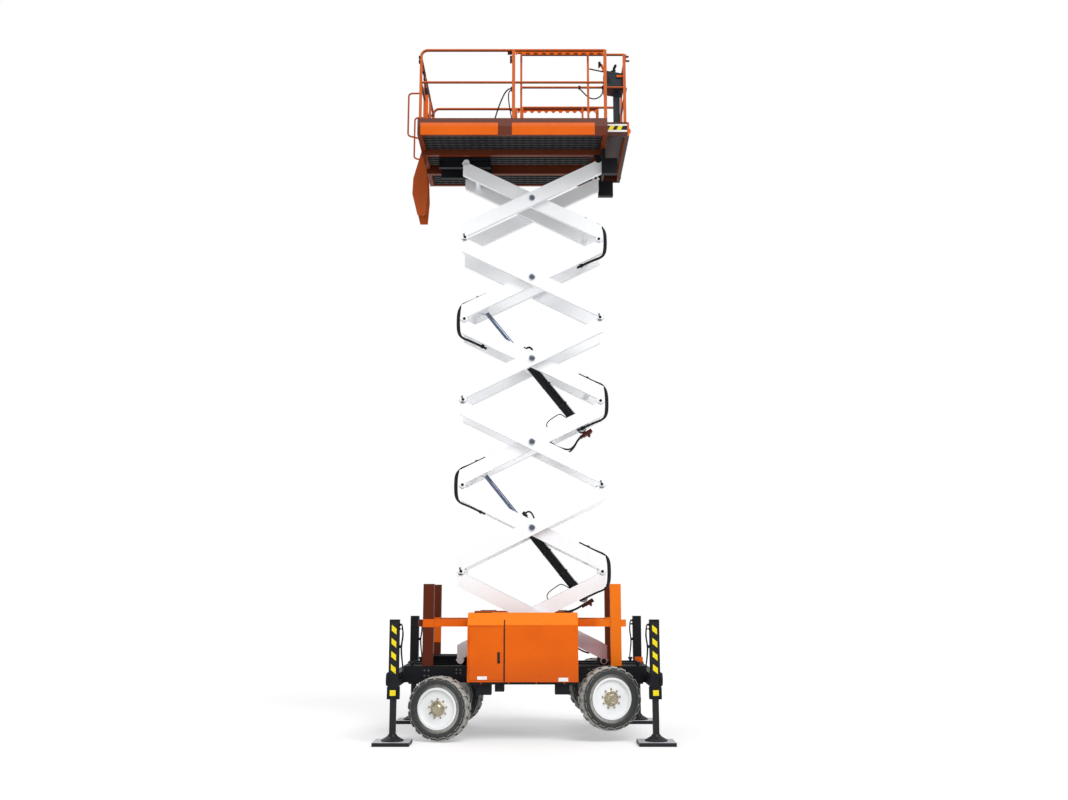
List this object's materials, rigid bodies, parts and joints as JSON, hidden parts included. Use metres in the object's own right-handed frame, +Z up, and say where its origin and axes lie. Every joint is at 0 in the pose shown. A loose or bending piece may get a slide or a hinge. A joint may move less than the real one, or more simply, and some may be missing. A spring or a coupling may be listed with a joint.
{
  "type": "rough-terrain scissor lift",
  "caption": "Four-wheel scissor lift on levelling jacks, stack partly raised, with guard-railed platform, roll-out deck, gate and steering.",
  "frame": {"origin": "on the ground at the middle of the four jack pads", "axes": "+X along the machine to the end with the arms' fixed pins, +Y across it to the far side, +Z up"},
  "size_m": [3.715, 3.055, 9.358],
  "materials": {
    "orange_paint": "glossy orange paint",
    "black_paint": "satin black paint",
    "white_paint": "white paint",
    "white_wheel": "white paint",
    "tyre_rubber": "matt rubber",
    "rod_steel": "polished rod",
    "engine_grey": "rough casting",
    "black_plastic": "textured plastic"
  },
  "bodies": {
    "chassis": {"chassis_frame": "black_paint", "stack_base": "black_paint", "sill_trays": "black_paint", "rest_posts": "orange_paint", "cover_near": "orange_paint", "cover_far": "orange_paint", "engine_block": "engine_grey", "jack_housings": "black_paint", "axle_left": "black_paint", "axle_right": "black_paint"},
    "outer_arms_1": {"arms_outer_1": "white_paint"},
    "inner_arms_1": {"arms_inner_1": "white_paint"},
    "outer_arms_2": {"arms_outer_2": "white_paint"},
    "inner_arms_2": {"arms_inner_2": "white_paint"},
    "outer_arms_3": {"arms_outer_3": "white_paint"},
    "inner_arms_3": {"arms_inner_3": "white_paint"},
    "outer_arms_4": {"arms_outer_4": "white_paint"},
    "inner_arms_4": {"arms_inner_4": "white_paint"},
    "outer_arms_5": {"arms_outer_5": "white_paint"},
    "inner_arms_5": {"arms_inner_5": "white_paint"},
    "outer_arms_6": {"arms_outer_6": "white_paint"},
    "inner_arms_6": {"arms_inner_6": "white_paint"},
    "platform": {"platform_deck": "orange_paint", "platform_frame": "orange_paint", "stack_head": "black_paint", "guard_rails": "orange_paint", "end_rails": "orange_paint", "grab_handles": "orange_paint", "boarding_ladder": "orange_paint"},
    "barrel_lower": {"cylinder_barrel_lower": "black_paint"},
    "rod_lower": {"cylinder_rod_lower": "rod_steel"},
    "barrel_upper": {"cylinder_barrel_upper": "black_paint"},
    "rod_upper": {"cylinder_rod_upper": "rod_steel"},
    "jack_left_near": {"jack_leg_left_near": "black_paint"},
    "jack_left_far": {"jack_leg_left_far": "black_paint"},
    "jack_right_near": {"jack_leg_right_near": "black_paint"},
    "jack_right_far": {"jack_leg_right_far": "black_paint"},
    "knuckle_left_near": {"knuckle_left_near": "black_paint"},
    "wheel_left_near": {"rim_left_near": "white_wheel", "tyre_left_near": "tyre_rubber"},
    "knuckle_left_far": {"knuckle_left_far": "black_paint"},
    "wheel_left_far": {"rim_left_far": "white_wheel", "tyre_left_far": "tyre_rubber"},
    "tie_rod_left": {"tie_rod_left": "black_paint"},
    "knuckle_right_near": {"knuckle_right_near": "black_paint"},
    "wheel_right_near": {"rim_right_near": "white_wheel", "tyre_right_near": "tyre_rubber"},
    "knuckle_right_far": {"knuckle_right_far": "black_paint"},
    "wheel_right_far": {"rim_right_far": "white_wheel", "tyre_right_far": "tyre_rubber"},
    "tie_rod_right": {"tie_rod_right": "black_paint"},
    "door_near": {"door_near": "orange_paint"},
    "door_far": {"door_far": "orange_paint"},
    "gate": {"entry_gate": "orange_paint"},
    "extension": {"extension_deck": "orange_paint", "extension_rails": "orange_paint", "control_box": "black_plastic"}
  },
  "joints": [
    {"name": "lift", "type": "hinge", "parent": "chassis", "child": "outer_arms_6", "pos_m": [1.043, 0, 0.957], "axis": [0, 1, 0], "range_deg": [-25.9, 11.5]},
    {"name": "centre_6", "type": "hinge", "parent": "outer_arms_6", "child": "inner_arms_6", "pos_m": [0.09231, 0, 1.53959], "axis": [0, 1, 0], "range_deg": [-23.01, 51.81]},
    {"name": "joint_6_5", "type": "hinge", "parent": "inner_arms_6", "child": "inner_arms_5", "pos_m": [1.043, 0, 2.12217], "axis": [0, 1, 0], "range_deg": [-51.81, 23.01]},
    {"name": "joint_5_4", "type": "hinge", "parent": "inner_arms_5", "child": "inner_arms_4", "pos_m": [-0.85839, 0, 3.28734], "axis": [0, 1, 0], "range_deg": [-23.01, 51.81]},
    {"name": "joint_4_3", "type": "hinge", "parent": "inner_arms_4", "child": "inner_arms_3", "pos_m": [1.043, 0, 4.45252], "axis": [0, 1, 0], "range_deg": [-51.81, 23.01]},
    {"name": "joint_3_2", "type": "hinge", "parent": "inner_arms_3", "child": "inner_arms_2", "pos_m": [-0.85839, 0, 5.61769], "axis": [0, 1, 0], "range_deg": [-23.01, 51.81]},
    {"name": "joint_2_1", "type": "hinge", "parent": "inner_arms_2", "child": "inner_arms_1", "pos_m": [1.043, 0, 6.78286], "axis": [0, 1, 0], "range_deg": [-51.81, 23.01]},
    {"name": "centre_5", "type": "hinge", "parent": "inner_arms_5", "child": "outer_arms_5", "pos_m": [0.09231, 0, 2.70476], "axis": [0, 1, 0], "range_deg": [-23.01, 51.81]},
    {"name": "centre_4", "type": "hinge", "parent": "inner_arms_4", "child": "outer_arms_4", "pos_m": [0.09231, 0, 3.86993], "axis": [0, 1, 0], "range_deg": [-51.81, 23.01]},
    {"name": "centre_3", "type": "hinge", "parent": "inner_arms_3", "child": "outer_arms_3", "pos_m": [0.09231, 0, 5.0351], "axis": [0, 1, 0], "range_deg": [-23.01, 51.81]},
    {"name": "centre_2", "type": "hinge", "parent": "inner_arms_2", "child": "outer_arms_2", "pos_m": [0.09231, 0, 6.20027], "axis": [0, 1, 0], "range_deg": [-51.81, 23.01]},
    {"name": "centre_1", "type": "hinge", "parent": "inner_arms_1", "child": "outer_arms_1", "pos_m": [0.09231, 0, 7.36545], "axis": [0, 1, 0], "range_deg": [-23.01, 51.81]},
    {"name": "platform_pivot", "type": "hinge", "parent": "outer_arms_1", "child": "platform", "pos_m": [1.043, 0, 7.94803], "axis": [0, 1, 0], "range_deg": [-25.91, 11.51]},
    {"name": "cylinder_base_lower", "type": "hinge", "parent": "inner_arms_6", "child": "barrel_lower", "pos_m": [0.79503, 0, 1.77084], "axis": [0, 1, 0], "range_deg": [-54.4, 24.16]},
    {"name": "cylinder_stroke_lower", "type": "slide", "parent": "barrel_lower", "child": "rod_lower", "axis": [-0.6278, 0, 0.7783], "range_m": [-0.642, 0.28511]},
    {"name": "cylinder_base_upper", "type": "hinge", "parent": "inner_arms_4", "child": "barrel_upper", "pos_m": [0.79503, 0, 4.10118], "axis": [0, 1, 0], "range_deg": [-54.4, 24.16]},
    {"name": "cylinder_stroke_upper", "type": "slide", "parent": "barrel_upper", "child": "rod_upper", "axis": [-0.6278, 0, 0.7783], "range_m": [-0.642, 0.28511]},
    {"name": "jack_left_near", "type": "slide", "parent": "chassis", "child": "jack_left_near", "axis": [0, 0, 1], "range_m": [0, 0.3]},
    {"name": "jack_left_far", "type": "slide", "parent": "chassis", "child": "jack_left_far", "axis": [0, 0, 1], "range_m": [0, 0.3]},
    {"name": "jack_right_near", "type": "slide", "parent": "chassis", "child": "jack_right_near", "axis": [0, 0, 1], "range_m": [0, 0.3]},
    {"name": "jack_right_far", "type": "slide", "parent": "chassis", "child": "jack_right_far", "axis": [0, 0, 1], "range_m": [0, 0.3]},
    {"name": "steer_left_near", "type": "hinge", "parent": "chassis", "child": "knuckle_left_near", "pos_m": [-1.04, -0.87, 0.407], "axis": [0, 0, 1], "range_deg": [-3, 33]},
    {"name": "spin_left_near", "type": "hinge", "parent": "knuckle_left_near", "child": "wheel_left_near", "pos_m": [-1.07624, -1.00523, 0.407], "axis": [0.2588, 0.9659, 0], "continuous": true},
    {"name": "steer_left_far", "type": "hinge", "parent": "chassis", "child": "knuckle_left_far", "pos_m": [-1.04, 0.87, 0.407], "axis": [0, 0, 1], "range_deg": [-3, 33]},
    {"name": "spin_left_far", "type": "hinge", "parent": "knuckle_left_far", "child": "wheel_left_far", "pos_m": [-1.00377, 1.00523, 0.407], "axis": [0.2588, 0.9659, 0], "continuous": true},
    {"name": "tie_rod_left", "type": "hinge", "parent": "knuckle_left_near", "child": "tie_rod_left", "pos_m": [-0.85708, -0.88278, 0.407], "axis": [0, 0, 1], "range_deg": [-34.45, 3.22]},
    {"name": "steer_right_near", "type": "hinge", "parent": "chassis", "child": "knuckle_right_near", "pos_m": [1.04, -0.87, 0.53], "axis": [0, 0, 1], "range_deg": [-33, 3]},
    {"name": "spin_right_near", "type": "hinge", "parent": "knuckle_right_near", "child": "wheel_right_near", "pos_m": [1.07624, -1.00523, 0.53], "axis": [-0.2588, 0.9659, 0], "continuous": true},
    {"name": "steer_right_far", "type": "hinge", "parent": "chassis", "child": "knuckle_right_far", "pos_m": [1.04, 0.87, 0.53], "axis": [0, 0, 1], "range_deg": [-33, 3]},
    {"name": "spin_right_far", "type": "hinge", "parent": "knuckle_right_far", "child": "wheel_right_far", "pos_m": [1.00377, 1.00523, 0.53], "axis": [-0.2588, 0.9659, 0], "continuous": true},
    {"name": "tie_rod_right", "type": "hinge", "parent": "knuckle_right_near", "child": "tie_rod_right", "pos_m": [0.85708, -0.88278, 0.53], "axis": [0, 0, 1], "range_deg": [-3.22, 34.45]},
    {"name": "door_near", "type": "hinge", "parent": "chassis", "child": "door_near", "pos_m": [-0.705, -1.169, 1.035], "axis": [0, 0, -1], "range_deg": [0, 100]},
    {"name": "door_far", "type": "hinge", "parent": "chassis", "child": "door_far", "pos_m": [-0.705, 1.169, 1.035], "axis": [0, 0, 1], "range_deg": [0, 100]},
    {"name": "gate", "type": "hinge", "parent": "platform", "child": "gate", "pos_m": [-1.466, -0.45, 8.54803], "axis": [0, 0, -1], "range_deg": [0, 90]},
    {"name": "extension_slide", "type": "slide", "parent": "platform", "child": "extension", "axis": [1, 0, 0], "range_m": [0, 0.9]}
  ],
  "couplings": [
    {"joint": "centre_6", "follows": "lift", "ratio": -2},
    {"joint": "joint_6_5", "follows": "lift", "ratio": 2},
    {"joint": "joint_5_4", "follows": "lift", "ratio": -2},
    {"joint": "joint_4_3", "follows": "lift", "ratio": 2},
    {"joint": "joint_3_2", "follows": "lift", "ratio": -2},
    {"joint": "joint_2_1", "follows": "lift", "ratio": 2},
    {"joint": "centre_5", "follows": "lift", "ratio": -2},
    {"joint": "centre_4", "follows": "lift", "ratio": 2},
    {"joint": "centre_3", "follows": "lift", "ratio": -2},
    {"joint": "centre_2", "follows": "lift", "ratio": 2},
    {"joint": "centre_1", "follows": "lift", "ratio": -2},
    {"joint": "platform_pivot", "follows": "lift", "ratio": 1},
    {"joint": "cylinder_base_lower", "follows": "lift", "ratio": 2.1},
    {"joint": "cylinder_stroke_lower", "follows": "lift", "m_per_rad": 1.42},
    {"joint": "cylinder_base_upper", "follows": "lift", "ratio": 2.1},
    {"joint": "cylinder_stroke_upper", "follows": "lift", "m_per_rad": 1.42},
    {"joint": "steer_left_far", "follows": "steer_left_near", "ratio": 1},
    {"joint": "tie_rod_left", "follows": "steer_left_near", "ratio": -1.041},
    {"joint": "steer_right_far", "follows": "steer_right_near", "ratio": 1},
    {"joint": "tie_rod_right", "follows": "steer_right_near", "ratio": -1.041}
  ]
}
